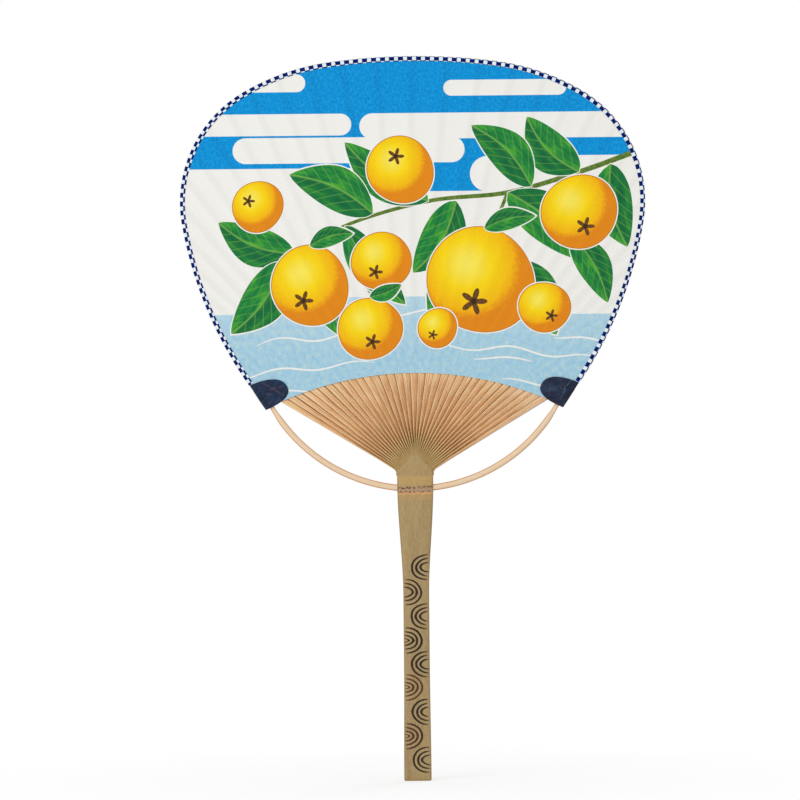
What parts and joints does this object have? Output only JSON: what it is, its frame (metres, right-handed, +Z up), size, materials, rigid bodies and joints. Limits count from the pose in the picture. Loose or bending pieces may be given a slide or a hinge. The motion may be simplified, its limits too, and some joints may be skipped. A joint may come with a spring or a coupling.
{
  "type": "uchiwa_fan",
  "caption": "Round uchiwa fan with a flat bamboo handle split into ribs, a thin bow through its node, paper leaves on both sides, taped edge and corner patches; fans air by hand",
  "frame": {"origin": "middle of the handle's lower end", "axes": "X to the right seen from the front, Y from front to back, Z up along the handle"},
  "size_m": [0.2346, 0.0052, 0.3652],
  "materials": {
    "bamboo_skin": "natural, dry bamboo",
    "bamboo_pale": "natural, peeled bamboo",
    "cotton_thread": "undyed twisted thread",
    "printed_paper": "matt printed paper",
    "white_paper": "matt plain paper",
    "checked_paper": "matt printed paper strip",
    "navy_paper": "matt dyed paper, creased"
  },
  "bodies": {
    "root": {"bamboo_stick": "bamboo_skin", "bow": "bamboo_pale", "binding_thread": "cotton_thread", "front_leaf": "printed_paper", "back_leaf": "white_paper", "edge_tape": "checked_paper", "corner_patch_left": "navy_paper", "corner_patch_right": "navy_paper"}
  },
  "joints": []
}
